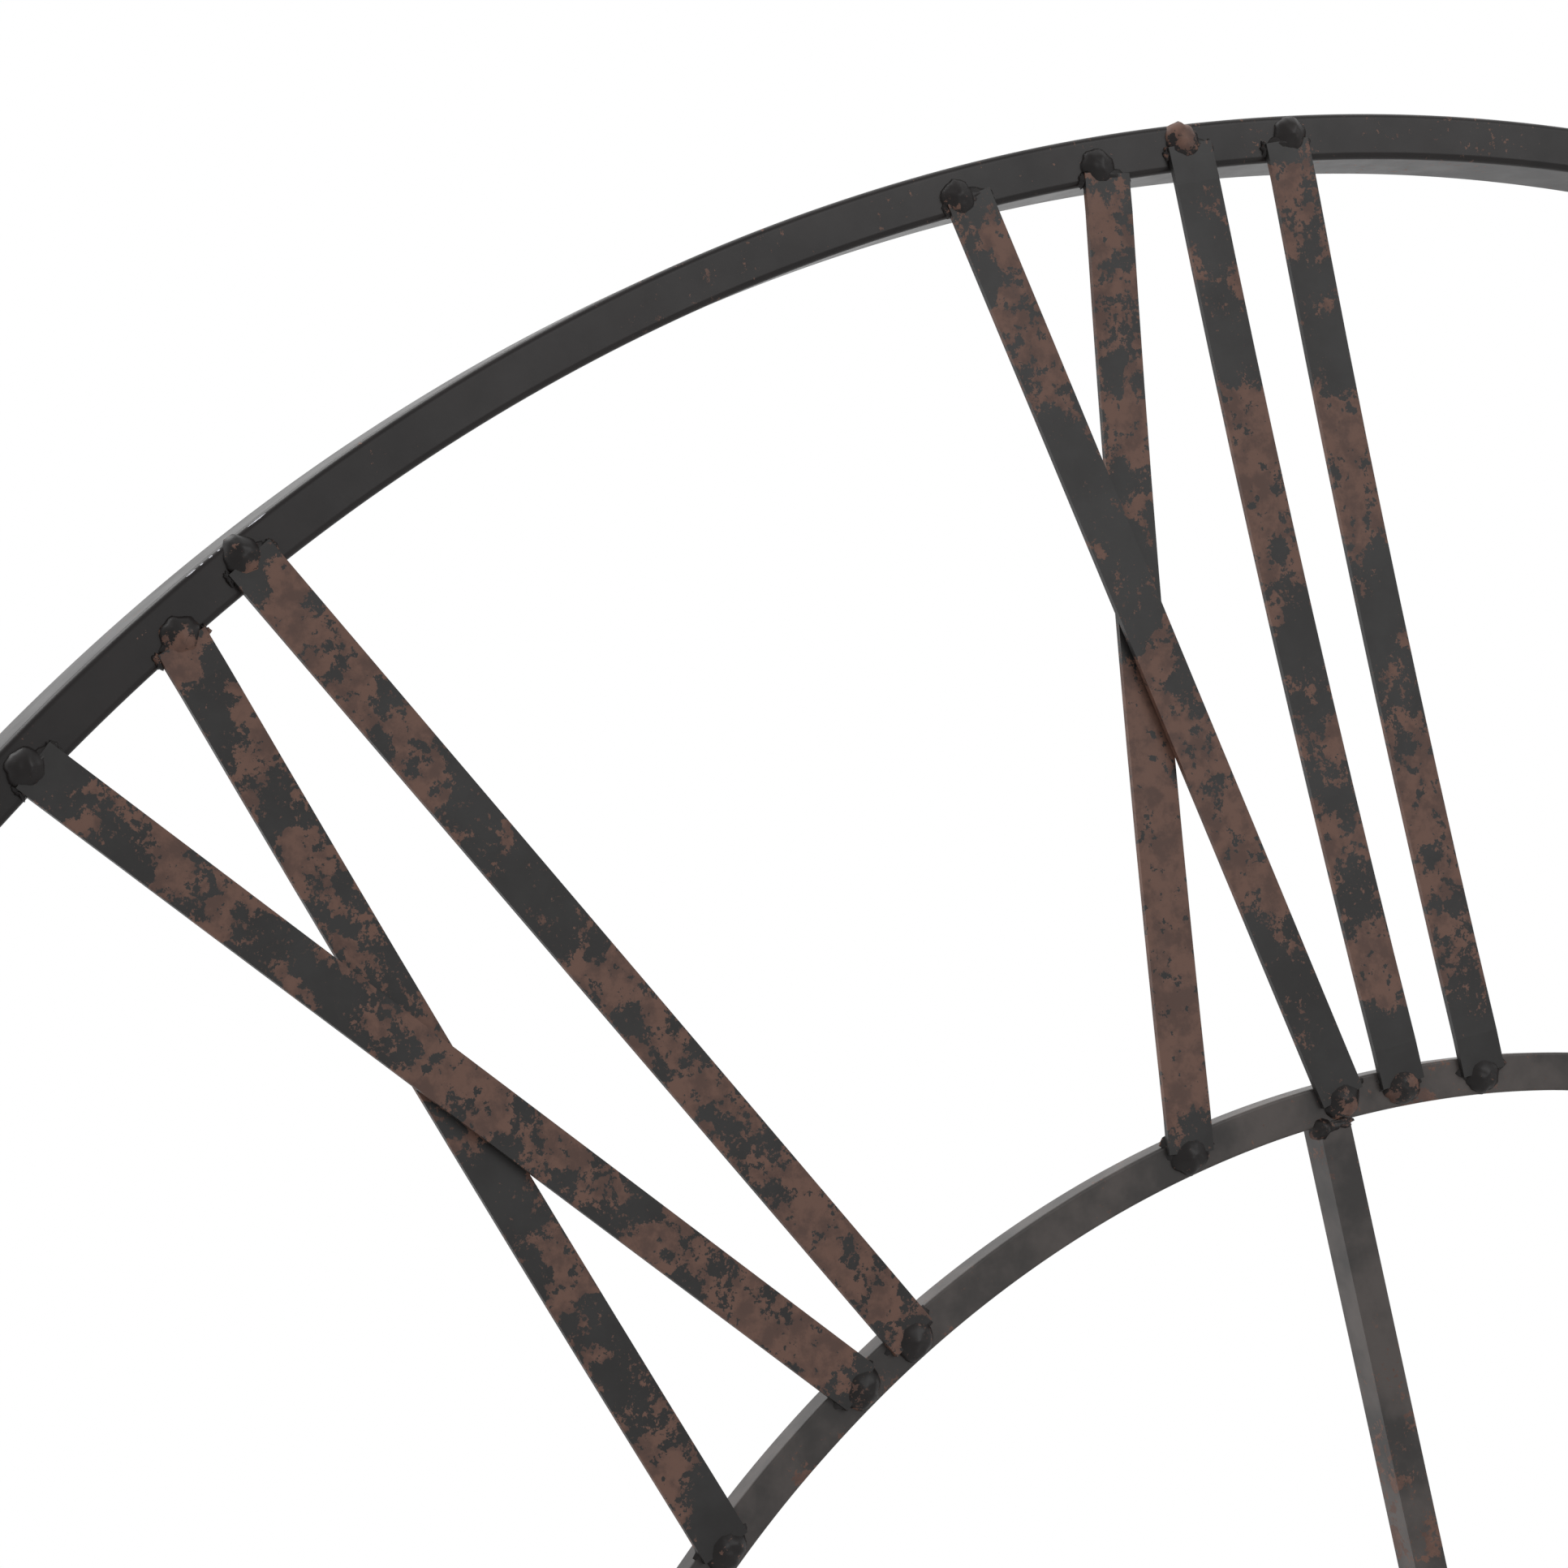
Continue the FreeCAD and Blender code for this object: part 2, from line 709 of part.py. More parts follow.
def make_bridge_plate():
    """The plate that holds the rear pivots, on four posts of the case."""
    back = size("bridge_back")
    front = back + size("bridge_thickness")
    plate = block((-14.2, 15.2), (-8, 20), back, front)
    hole = size("pivot_radius") + size("pivot_play")
    in_bridge = [spot for spot in PIVOTS if spot not in (MOTION_AT, SETTING_AT)]
    cuts = [rod(hole, back, front, *spot) for spot in in_bridge]
    cuts.append(rod(size("arbor_rear_radius") + size("pivot_play"), back, front))
    return shape_part("bridge_plate", plate.cut(cuts))


STATOR = {"back": 8.2, "front": 9.3, "x": (-19, 5), "foot": 12.4, "top": 20.4, "end": 24.9}
CORE_FRONT = 10.8
COIL_Z = 23.5
COIL_DEPTH = 10.2
COIL_X = (-14.8, 0.8)


def make_stator():
    """The laminated plate round the rotor's magnet, with two arms up to the coil's core."""
    back, front = STATOR["back"], STATOR["front"]
    left, right = STATOR["x"]
    base = block((left, right), (STATOR["foot"], STATOR["top"]), back, front)
    arm_height = (STATOR["top"], STATOR["end"])
    arms = [block((left, left + 3.4), arm_height, back, front)]
    arms.append(block((right - 3.4, right), arm_height, back, front))
    return shape_part("stator", fused(base, *arms).cut(rod(3.0, back, front, *ROTOR_AT)))


def x_rod(radius, x, depth, z):
    """A cylinder that lies along X."""
    return Part.makeCylinder(radius, x[1] - x[0], Vector(x[0], -depth, z - DROP), Vector(1, 0, 0))


def core_block():
    return block(STATOR["x"], (COIL_Z - 1.2, COIL_Z + 1.2), STATOR["front"], CORE_FRONT)


def make_coil():
    """The winding and its two bobbin flanges, round the core."""
    flange = 0.5
    winding = x_rod(2.4, COIL_X, COIL_DEPTH, COIL_Z)
    flanges = [x_rod(2.8, (end - flange, end + flange), COIL_DEPTH, COIL_Z) for end in COIL_X]
    return shape_part("coil", fused(winding, *flanges).cut(core_block()))


BOARD_X, BOARD_Z, BOARD_BACK, BOARD_FRONT = (16.2, 25.0), (-5.5, 20), 8.0, 8.8


def make_circuit_board():
    """The board, with its chip under a drop of resin."""
    board = block(BOARD_X, BOARD_Z, BOARD_BACK, BOARD_FRONT)
    middle = Vector(20.6, -BOARD_FRONT, 2 - DROP)
    drop = Part.makeSphere(2.6, middle, Vector(0, -1, 0), 0, 90)
    squash = FreeCAD.Matrix()
    squash.scale(1, 0.4, 1)
    drop.translate(middle.negative())
    drop = drop.transformGeometry(squash)
    drop.translate(middle)
    return shape_part("circuit_board", board.fuse(drop))


def make_quartz_crystal():
    """The crystal's metal can, lying on the board."""
    can = Part.makeCylinder(1.0, 6.0, Vector(20.6, -(BOARD_FRONT + 1.0), 9 - DROP))
    return shape_part("quartz_crystal", can)


def make_battery_cell():
    """An AA cell that lies across the foot of the case."""
    start = -25.2
    end = start + size("cell_length")
    depth, height = size("cell_depth"), size("cell_height")
    can = x_rod(size("cell_radius"), (start, end), depth, height)
    nub = x_rod(size("nub_radius"), (end, end + size("nub_length")), depth, height)
    return shape_part("battery_cell", fused(can, nub))


def make_contacts():
    """Two bent strips from the ends of the cell to the board."""
    height = size("cell_height")
    plate_z = (height - 3.5, height + 3.5)
    tab = (BOARD_FRONT, BOARD_FRONT + 0.4)
    positive = fused(
        block((25.3, 25.7), plate_z, 10, 18),
        block((25.3, 25.7), (plate_z[1], -1), BOARD_FRONT, 10.8),
        block((25.3, 25.7), (plate_z[1] - 2, plate_z[1]), BOARD_FRONT, 18),
        block((22.8, 25.3), (-3, -1), *tab),
    )
    run = (size("divider_height") + size("divider_thickness"), -10.0)
    negative = fused(
        block((-26.3, -25.9), plate_z, 10, 18),
        x_rod(2.5, (-25.9, -25.2), size("cell_depth"), height),
        block((-26.3, -25.9), (plate_z[1] - 2, run[1]), BOARD_FRONT, 10.8),
        block((-25.9, 17.6), run, BOARD_FRONT, 10.8),
        block((17.2, 17.6), (run[1], -3.5), *tab),
    )
    return [shape_part("contact_positive", positive), shape_part("contact_negative", negative)]


node(make_movement_case())
node(make_movement_cover())
node(make_case_screws())
node(make_centre_tube())
flange_side = "tube_flange + 0.2"
node(ring_part("gasket", "gasket_radius", flange_side, f"{CASE_FRONT}", "flange_thickness"))
node(ring_part("fixing_washer", "washer_radius", "tube_radius", "hub_front", "washer_thickness"))
node(make_fixing_nut())
node(make_bridge_plate())
node(make_stator())
node(shape_part("coil_core", core_block()))
node(make_coil())
node(make_circuit_board())
node(make_quartz_crystal())
node(make_battery_cell())
for contact in make_contacts():
    node(contact)


# ---- movement: wheels ----------------------------------------------------------------------
# Tooth shape, in modules and in shares of the tooth pitch on each side of the tooth's middle.

ADDENDUM, DEDENDUM = 0.75, 1.15
TIP_SHARE, ROOT_SHARE = 0.10, 0.27


def mesh_phase(angle, teeth, phase, other_teeth):
    """Where the other wheel's tooth points, so that it meshes at rest with the wheel at phase."""
    past_tooth = angle - phase
    return angle + 180 + past_tooth * teeth / other_teeth + 180 / other_teeth


def toothed(teeth, module, phase, back, front, spot):
    """A wheel or pinion with straight-sided teeth."""
    pitch = 360 / teeth
    root, tip = module * (teeth / 2 - DEDENDUM), module * (teeth / 2 + ADDENDUM)
    steps = ((-ROOT_SHARE, root), (-TIP_SHARE, tip), (TIP_SHARE, tip), (ROOT_SHARE, root))
    corners = []
    for tooth in range(teeth):
        for share, radius in steps:
            x, z = step_from(spot, radius, phase + (tooth + share) * pitch)
            corners.append(Vector(x, -back, z - DROP))
    face = Part.Face(Part.makePolygon(corners + corners[:1]))
    return face.extrude(Vector(0, back - front, 0))


def pierced(wheel, spot, radius, hole, back, front):
    """Cuts four round windows into a wheel's web."""
    windows = []
    for quarter in range(4):
        x, z = step_from(spot, radius, 45 + 90 * quarter)
        windows.append(rod(hole, back, front, x, z))
    return wheel.cut(windows)


REAR_PIVOT = size("bridge_back")
FRONT_PIVOT = size("pivot_depth")


def arbor(spot, rear=REAR_PIVOT):
    return rod(size("pivot_radius"), rear, FRONT_PIVOT, *spot)


def make_third_wheel():
    way = mesh_phase(THIRD_WAY, CENTRE_TEETH, 0, THIRD_PINION)
    pinion = toothed(THIRD_PINION, TRAIN_MODULE, way, 17.4, 18.6, THIRD_AT)
    wheel = toothed(THIRD_TEETH, THIRD_MODULE, 0, 15.4, 16.2, THIRD_AT)
    wheel = pierced(wheel, THIRD_AT, 4.6, 1.9, 15.4, 16.2)
    collar = rod(1.1, 16.2, 17.4, *THIRD_AT)
    return shape_part("third_wheel", fused(wheel, collar, pinion, arbor(THIRD_AT)))


def make_seconds_wheel():
    way = mesh_phase(SECONDS_WAY, THIRD_TEETH, 0, SECONDS_PINION)
    pinion = toothed(SECONDS_PINION, THIRD_MODULE, way, 15.2, 16.4, SECONDS_AT)
    wheel = toothed(SECONDS_TEETH, FAST_MODULE, 0, 13.2, 14.0, SECONDS_AT)
    wheel = pierced(wheel, SECONDS_AT, 3.4, 1.4, 13.2, 14.0)
    collar = rod(0.9, 14.0, 15.2, *SECONDS_AT)
    return shape_part("seconds_wheel", fused(wheel, collar, pinion, arbor(SECONDS_AT)))


def make_intermediate_wheel():
    way = mesh_phase(INTERMEDIATE_WAY, SECONDS_TEETH, 0, INTERMEDIATE_PINION)
    spot = INTERMEDIATE_AT
    pinion = toothed(INTERMEDIATE_PINION, FAST_MODULE, way, 13.0, 14.2, spot)
    wheel = toothed(INTERMEDIATE_TEETH, FAST_MODULE, 0, 11.2, 12.0, spot)
    wheel = pierced(wheel, spot, 2.9, 1.2, 11.2, 12.0)
    collar = rod(0.9, 12.0, 13.0, *spot)
    return shape_part("intermediate_wheel", fused(wheel, collar, pinion, arbor(spot)))


def make_rotor():
    """The magnet and its pinion, on one arbor."""
    way = mesh_phase(ROTOR_WAY, INTERMEDIATE_TEETH, 0, ROTOR_PINION)
    pinion = toothed(ROTOR_PINION, FAST_MODULE, way, 11.0, 12.2, ROTOR_AT)
    magnet = rod(2.6, 8.2, 9.4, *ROTOR_AT)
    return shape_part("rotor", fused(magnet, pinion, arbor(ROTOR_AT, 8.2)))


def make_centre_wheel():
    """The minute arbor, with the going wheel and the cannon pinion on it."""
    wheel = toothed(CENTRE_TEETH, TRAIN_MODULE, 0, 17.6, 18.4, CENTRE_AT)
    wheel = pierced(wheel, CENTRE_AT, 5.3, 2.3, 17.6, 18.4)
    cannon = toothed(CANNON_TEETH, MOTION_MODULE, 0, 19.4, 20.6, CENTRE_AT)
    hand_back = size("minute_hand_depth")
    tip_front = hand_back + size("hand_thickness") + 1.6
    arbors = [
        rod(size("arbor_rear_radius"), REAR_PIVOT, 17.6),
        rod(size("arbor_radius"), 17.6, hand_back),
        rod(size("arbor_tip_radius"), hand_back, tip_front),
    ]
    return shape_part("centre_wheel", fused(wheel, cannon, *arbors))


def make_motion_wheel():
    """The wheel that the cannon pinion turns, with the pinion that turns the hour wheel.

    Its short arbor turns in the case alone, clear of the going wheel behind it.
    """
    way = mesh_phase(MOTION_WAY, CANNON_TEETH, 0, MOTION_TEETH)
    wheel = toothed(MOTION_TEETH, MOTION_MODULE, way, 19.6, 20.4, MOTION_AT)
    pinion = toothed(MOTION_PINION, HOUR_MODULE, 0, 20.7, 22.0, MOTION_AT)
    collar = rod(1.3, 20.4, 20.7, *MOTION_AT)
    return shape_part("motion_wheel", fused(wheel, collar, pinion, arbor(MOTION_AT, 19.2)))


def make_hour_wheel():
    """The hour wheel and its pipe, which turns between the centre tube and the minute arbor."""
    way = mesh_phase(MOTION_WAY + 180, MOTION_PINION, 0, HOUR_TEETH)
    wheel = toothed(HOUR_TEETH, HOUR_MODULE, way, 20.9, 21.9, CENTRE_AT)
    pipe = rod(size("pipe_radius"), 20.9, size("pipe_front"))
    bore = rod(size("pipe_bore"), 20.9, size("pipe_front"))
    return shape_part("hour_wheel", fused(wheel, pipe).cut(bore))


def make_setting_knob():
    """The knob behind the cover, with the pinion that moves the hands by hand."""
    motion_phase = mesh_phase(MOTION_WAY, CANNON_TEETH, 0, MOTION_TEETH)
    way = mesh_phase(SETTING_WAY, MOTION_TEETH, motion_phase, SETTING_TEETH)
    pinion = toothed(SETTING_TEETH, MOTION_MODULE, way, 19.4, 20.6, SETTING_AT)
    shaft = rod(size("knob_shaft"), 5.4, 20.6, *SETTING_AT)
    tip = rod(size("pivot_radius"), 20.6, FRONT_PIVOT, *SETTING_AT)
    knob = rod(size("knob_radius"), 2.0, 5.4, *SETTING_AT)
    flutes = []
    for flute in range(18):
        x, z = step_from(SETTING_AT, size("knob_radius") + 0.2, 20 * flute)
        flutes.append(rod(0.5, 2.0, 5.4, x, z))
    return shape_part("setting_knob", fused(knob.cut(flutes), shaft, pinion, tip))


for maker in (
    make_centre_wheel,
    make_hour_wheel,
    make_motion_wheel,
    make_third_wheel,
    make_seconds_wheel,
    make_intermediate_wheel,
    make_rotor,
    make_setting_knob,
):
    node(maker())


# ---- hands ---------------------------------------------------------------------------------


def arc_edge(start, middle, end):
    """An arc through three (across, along) points of the dial's plane."""
    return Part.Arc(*(Vector(x, 0, z) for x, z in (start, middle, end))).toShape()


def line_edge(start, end):
    return Part.makeLine(Vector(start[0], 0, start[1]), Vector(end[0], 0, end[1]))


def mirrored(points):
    return [(-x, z) for x, z in reversed(points)]


def hand_outline(length, leaf, neck, root, leaf_length, tail, tail_half):
    """A spade hand: a tapered blade, a leaf that ends in a long point, and a rounded tail."""
    base = length - leaf_length
    shoulder = (leaf, base + 0.36 * leaf_length)
    right_low = [(neck, base), (0.8 * leaf, base + 0.10 * leaf_length), shoulder]
    right_high = [shoulder, (0.38 * leaf, base + 0.62 * leaf_length), (0, length)]
    edges = [
        arc_edge((tail_half, -tail), (0, -tail - tail_half), (-tail_half, -tail)),
        line_edge((-tail_half, -tail), (-root, 0)),
        line_edge((-root, 0), (-neck, base)),
        arc_edge(*reversed(mirrored(right_low))),
        arc_edge(*reversed(mirrored(right_high))),
        arc_edge(*reversed(right_high)),
        arc_edge(*reversed(right_low)),
        line_edge((neck, base), (root, 0)),
        line_edge((root, 0), (tail_half, -tail)),
    ]
    return Part.Face(Part.Wire(edges))


def make_hand(label, outline, depth, bore, angle):
    """A flat hand with a round boss, bored for its arbor."""
    thickness = size("hand_thickness")
    blade = outline.extrude(Vector(0, -thickness, 0))
    boss = Part.makeCylinder(11.0, thickness, Vector(0, 0, 0), Vector(0, -1, 0))
    hole = Part.makeCylinder(bore, thickness, Vector(0, 0, 0), Vector(0, -1, 0))
    hand = doc.addObject("Part::Feature", label)
    hand.Label = label
    hand.Shape = blade.fuse(boss).removeSplitter().cut(hole)
    hand.Placement = at(depth, angle)
    return hand


hour_face = hand_outline(size("hour_hand_length"), 15.0, 3.2, 5.4, 62.0, 30.0, 5.0)
minute_face = hand_outline(size("minute_hand_length"), 11.0, 2.6, 5.0, 66.0, 62.0, 6.5)
hour_angle, minute_angle = size("hour_hand_angle"), size("minute_hand_angle")
node(make_hand("hour_hand", hour_face, size("hour_hand_depth"), size("pipe_radius"), hour_angle))
tip_radius = size("arbor_tip_radius")
node(make_hand("minute_hand", minute_face, size("minute_hand_depth"), tip_radius, minute_angle))

# The hour bush clamps the hand on its pipe from in front, the minute bush sits behind its hand.
hour_front = "hour_hand_depth + hand_thickness"
node(ring_part("hour_bush", "bush_radius", "pipe_radius", hour_front, "0.8"))
minute_bush_back = "minute_hand_depth - 0.8"
node(ring_part("minute_bush", "bush_radius - 1", "arbor_radius", minute_bush_back, "0.8"))


def make_hand_nut():
    """A domed cap nut on the arbor's tip."""
    back = size("minute_hand_depth") + size("hand_thickness")
    radius = size("cap_radius")
    barrel = rod(radius, back, back + 1.2)
    middle = Vector(0, -(back + 1.2), -DROP)
    dome = Part.makeSphere(radius, middle, Vector(0, -1, 0), 0, 90)
    thread = rod(tip_radius, back, back + 1.6)
    return shape_part("hand_nut", fused(barrel, dome).cut(thread))


node(make_hand_nut())


# ---- check and write -----------------------------------------------------------------------

doc.recompute()
for item in doc.Objects:
    if {"Invalid", "Error"} & set(item.State):
        raise ValueError(f"{item.Label} did not build: {item.State}")
for item in nodes:
    if item.Shape.isNull() or not item.Shape.isValid():
        raise ValueError(f"{item.Label} has no valid shape")
os.makedirs("parts", exist_ok=True)
for item in nodes:
    item.Shape.exportStep(f"parts/{item.Label}.step")
print(f"{len(nodes)} sub-parts written")
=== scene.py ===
import math
import random

import bmesh
import bpy
from mathutils import Matrix, Vector, noise


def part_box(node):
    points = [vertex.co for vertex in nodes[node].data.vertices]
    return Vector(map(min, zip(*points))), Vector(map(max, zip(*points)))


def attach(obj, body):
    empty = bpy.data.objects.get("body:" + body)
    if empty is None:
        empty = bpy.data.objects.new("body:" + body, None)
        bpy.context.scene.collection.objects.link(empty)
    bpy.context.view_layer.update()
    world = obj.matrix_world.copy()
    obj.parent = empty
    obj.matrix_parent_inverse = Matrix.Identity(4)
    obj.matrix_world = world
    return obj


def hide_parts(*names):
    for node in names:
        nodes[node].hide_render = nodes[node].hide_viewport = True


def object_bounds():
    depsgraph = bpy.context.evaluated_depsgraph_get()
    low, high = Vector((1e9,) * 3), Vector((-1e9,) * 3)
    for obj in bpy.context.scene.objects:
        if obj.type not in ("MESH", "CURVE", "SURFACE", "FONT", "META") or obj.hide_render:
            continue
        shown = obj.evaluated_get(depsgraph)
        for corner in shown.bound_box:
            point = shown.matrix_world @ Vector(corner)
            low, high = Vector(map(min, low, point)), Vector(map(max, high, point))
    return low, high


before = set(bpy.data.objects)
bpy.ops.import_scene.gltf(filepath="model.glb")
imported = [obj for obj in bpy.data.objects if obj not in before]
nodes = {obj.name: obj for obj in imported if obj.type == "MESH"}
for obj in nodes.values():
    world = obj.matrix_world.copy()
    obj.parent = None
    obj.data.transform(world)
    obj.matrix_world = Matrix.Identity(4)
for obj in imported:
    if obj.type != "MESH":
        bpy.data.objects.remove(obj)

# Openwork garden clock. Everything is in metres in the CAD frame: the dial faces -Y, +Z is up.

CAD_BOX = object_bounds()


def middle(name):
    low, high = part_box(name)
    return (low + high) / 2


CENTRE = middle("outer_ring")
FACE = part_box("outer_ring")[0].y
INNER = (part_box("inner_ring")[1].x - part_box("inner_ring")[0].x) / 2
OUTER = (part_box("outer_ring")[1].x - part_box("outer_ring")[0].x) / 2

# sections of the two rings, which the frame's boxes do not give
TUBE_WIDTH, TUBE_CORNER = 0.0097, 0.0014
BAR_WIDTH, BAR_CORNER = 0.0080, 0.0006
HOLE_RADIUS, HOLE_DEPTH = 0.0035, 0.006
OUT_OF_ROUND = 0.00004


# ---- node helpers --------------------------------------------------------------------------


class Graph:
    """Short forms for building one material's nodes."""

    def __init__(self, name):
        self.material = bpy.data.materials.new(name)
        self.material.use_nodes = True
        self.tree = self.material.node_tree
        self.shader = self.tree.nodes["Principled BSDF"]
        self.place = self.tree.nodes.new("ShaderNodeTexCoord").outputs["Object"]

    def node(self, kind, **fields):
        made = self.tree.nodes.new(kind)
        for field, value in fields.items():
            setattr(made, field, value)
        return made

    def link(self, source, target):
        self.tree.links.new(source, target)

    def moved(self, offset=(0, 0, 0), scale=(1, 1, 1), turn=(0, 0, 0)):
        mapping = self.node("ShaderNodeMapping")
        mapping.inputs["Location"].default_value = offset
        mapping.inputs["Scale"].default_value = scale
        mapping.inputs["Rotation"].default_value = turn
        self.link(self.place, mapping.inputs["Vector"])
        return mapping.outputs["Vector"]

    def noise(self, scale, detail=4.0, rough=0.55, seed=0.0, place=None, distortion=0.0):
        made = self.node("ShaderNodeTexNoise")
        made.inputs["Scale"].default_value = scale
        made.inputs["Detail"].default_value = detail
        made.inputs["Roughness"].default_value = rough
        made.inputs["Distortion"].default_value = distortion
        source = place or self.moved(offset=(seed, seed * 0.7, -seed))
        self.link(source, made.inputs["Vector"])
        return made.outputs["Fac"]

    def math(self, operation, first, second=0.0, third=None):
        made = self.node("ShaderNodeMath", operation=operation)
        for index, value in enumerate((first, second, third)):
            if value is None:
                continue
            if isinstance(value, (int, float)):
                made.inputs[index].default_value = value
            else:
                self.link(value, made.inputs[index])
        return made.outputs["Value"]

    def ramp(self, value, low, high):
        """0 below low, 1 above high, smooth between them."""
        made = self.node("ShaderNodeMapRange", interpolation_type="SMOOTHSTEP")
        self.link(value, made.inputs["Value"])
        made.inputs["From Min"].default_value = low
        made.inputs["From Max"].default_value = high
        return made.outputs["Result"]

    def spread(self, value, low, high):
        """Maps 0..1 to low..high."""
        made = self.node("ShaderNodeMapRange")
        self.link(value, made.inputs["Value"])
        made.inputs["To Min"].default_value = low
        made.inputs["To Max"].default_value = high
        return made.outputs["Result"]

    def mix(self, factor, first, second):
        made = self.node("ShaderNodeMix", data_type="RGBA")
        for socket, value in ((0, factor), (6, first), (7, second)):
            if isinstance(value, (int, float)):
                made.inputs[socket].default_value = value
            elif isinstance(value, tuple):
                made.inputs[socket].default_value = (*value, 1)
            else:
                self.link(value, made.inputs[socket])
        return made.outputs[2]

    def radius(self):
        """Distance from the dial's centre in its plane."""
        shift = self.moved(offset=(-CENTRE.x, 0, -CENTRE.z), scale=(1, 0, 1))
        length = self.node("ShaderNodeVectorMath", operation="LENGTH")
        self.link(shift, length.inputs[0])
        return length.outputs["Value"]

    def bump(self, height, distance, strength=1.0):
        made = self.node("ShaderNodeBump")
        made.inputs["Strength"].default_value = strength
        made.inputs["Distance"].default_value = distance
        self.link(height, made.inputs["Height"])
        self.link(made.outputs["Normal"], self.shader.inputs["Normal"])

    def set(self, **values):
        for name, value in values.items():
            self.shader.inputs[name.replace("_", " ")].default_value = value


BLACK = (0.036, 0.0345, 0.0338)
BLACK_DEEP = (0.024, 0.0220, 0.0214)
BROWN_BLACK = (0.0150, 0.0110, 0.0105)
BROWN_DEEP = (0.0085, 0.0060, 0.0058)
GREY_BLACK = (0.115, 0.098, 0.091)
GREY_DEEP = (0.050, 0.045, 0.043)
RUST = (0.215, 0.112, 0.080)
RUST_DARK = (0.132, 0.070, 0.053)


def patina(name, cover, speckle, seed, fade=None, black=BLACK, deep=BLACK_DEEP, gloss=0.40):
    """Satin black paint, sponged over with patches and specks of rust brown.

    cover sets how much of the surface is in patches, speckle how many loose specks there are, and
    gloss is the middle of the roughness. fade is a pair of radii outside which patches are fewer,
    as they are near the welds.
    """
    g = Graph(name)
    broad = g.noise(30, 3.0, 0.60, seed, distortion=0.4)
    medium = g.noise(120, 6.0, 0.66, seed + 3)
    fine = g.noise(620, 5.0, 0.70, seed + 7)
    field = g.math("MULTIPLY_ADD", broad, 0.46, g.math("MULTIPLY", medium, 0.40))
    field = g.math("MULTIPLY_ADD", fine, 0.14, field)
    if fade:
        radius = g.radius()
        inner = g.math("SUBTRACT", 1.0, g.ramp(radius, fade[0], fade[0] + 0.014))
        outer = g.ramp(radius, fade[1] - 0.010, fade[1])
        near_end = g.math("MAXIMUM", inner, outer)
        field = g.math("MULTIPLY_ADD", near_end, -0.055, field)
    edge = 0.5 + (0.5 - cover) * 0.23
    patch = g.ramp(field, edge, edge + 0.009)
    holes = g.ramp(g.noise(340, 4.0, 0.62, seed + 11), 0.600, 0.622)
    patch = g.math("MULTIPLY", patch, g.math("SUBTRACT", 1.0, holes))
    near_patch = g.ramp(field, edge - 0.050, edge)
    specks = g.ramp(g.noise(1050, 3.0, 0.60, seed + 17), 0.615, 0.640)
    specks = g.math("MULTIPLY", specks, near_patch)
    cluster = g.ramp(g.noise(42, 4.0, 0.7, seed + 19), 0.44, 0.66)
    crowd = g.math("MULTIPLY", cluster, 0.15 * speckle)
    stray = g.ramp(g.math("ADD", g.noise(640, 5.0, 0.66, seed + 23), crowd), 0.700, 0.722)
    rust = g.math("MAXIMUM", patch, g.math("MAXIMUM", specks, stray))
    base = g.mix(g.ramp(g.noise(55, 4.0, 0.6, seed + 29), 0.36, 0.66), deep, black)
    tone = g.mix(g.ramp(g.noise(210, 5.0, 0.65, seed + 31), 0.38, 0.60), RUST_DARK, RUST)
    g.link(g.mix(g.math("MULTIPLY", rust, 0.92), base, tone), g.shader.inputs["Base Color"])
    smear = g.noise(90, 5.0, 0.6, seed + 37)
    shine = g.spread(smear, gloss - 0.08, gloss + 0.10)
    rough = g.math("ADD", shine, g.math("MULTIPLY", rust, 0.12))
    g.link(rough, g.shader.inputs["Roughness"])
    grain = g.noise(1500, 3.0, 0.5, seed + 41)
    ripple = g.noise(160, 3.0, 0.5, seed + 43)
    height = g.math("MULTIPLY_ADD", grain, 0.20, g.math("MULTIPLY", ripple, 0.55))
    height = g.math("MULTIPLY_ADD", rust, 0.12, height)
    g.bump(height, 0.00009, 0.40)
    g.set(Metallic=0.0)
    return g.material


def plastic(name, colour, rough, seed, dust=(0.30, 0.29, 0.27)):
    """Moulded plastic with a fine spark-eroded grain, scuffs and a little dust."""
    g = Graph(name)
    cloud = g.noise(35, 4.0, 0.6, seed)
    scuffs = g.noise(300, 6.0, 0.7, seed + 2, place=g.moved(scale=(1, 1, 6), turn=(0, 0.5, 0)))
    dusty = g.math("MULTIPLY", g.ramp(cloud, 0.50, 0.75), 0.10)
    dark = tuple(0.78 * part for part in colour)
    tone = g.mix(g.ramp(scuffs, 0.35, 0.65), dark, colour)
    g.link(g.mix(dusty, tone, dust), g.shader.inputs["Base Color"])
    g.link(g.spread(scuffs, rough - 0.10, rough + 0.12), g.shader.inputs["Roughness"])
    g.bump(g.noise(2600, 2.0, 0.5, seed + 4), 0.00008, 0.6)
    return g.material


def metal(name, colour, rough, seed, stain, along=(1, 1, 14)):
    """Bare metal with drawing lines, stains and finger marks."""
    g = Graph(name)
    lines = g.noise(420, 5.0, 0.65, seed, place=g.moved(scale=along))
    blotch = g.noise(140, 4.0, 0.6, seed + 3)
    tone = g.mix(g.ramp(lines, 0.35, 0.65), tuple(0.80 * part for part in colour), colour)
    stained = g.math("MULTIPLY", g.ramp(blotch, 0.48, 0.68), 0.55)
    g.link(g.mix(stained, tone, stain), g.shader.inputs["Base Color"])
    g.link(g.spread(lines, rough - 0.08, rough + 0.16), g.shader.inputs["Roughness"])
    g.bump(lines, 0.00004, 0.5)
    g.set(Metallic=1.0)
    return g.material


